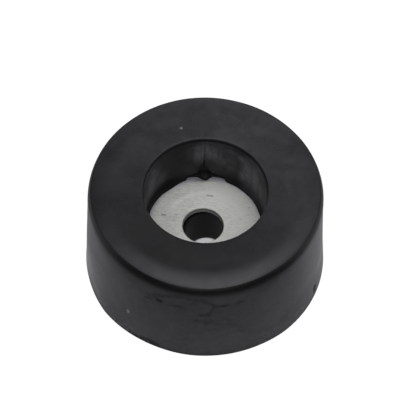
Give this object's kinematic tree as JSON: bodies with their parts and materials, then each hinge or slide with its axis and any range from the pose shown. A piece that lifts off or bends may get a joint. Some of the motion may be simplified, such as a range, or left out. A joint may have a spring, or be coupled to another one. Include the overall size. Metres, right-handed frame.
{
  "type": "rubber foot",
  "caption": "Round black rubber foot with a deep screw recess and a steel washer moulded in, screwed under a case, desk or bench so that its ring meets the floor.",
  "frame": {"origin": "centre of the flat mounting base, on the axis of the foot", "axes": "+Z along the axis of the foot, from the mounting base towards the recess and tread ring; +Y towards the split in the recess wall; +X completes the right hand"},
  "size_m": [0.038, 0.038, 0.019],
  "materials": {
    "black_rubber": "satin moulded rubber, lightly scuffed",
    "washer_steel": "plated steel, dull, fine cross grain"
  },
  "bodies": {
    "root": {"rubber_body": "black_rubber", "steel_washer": "washer_steel"}
  },
  "joints": []
}
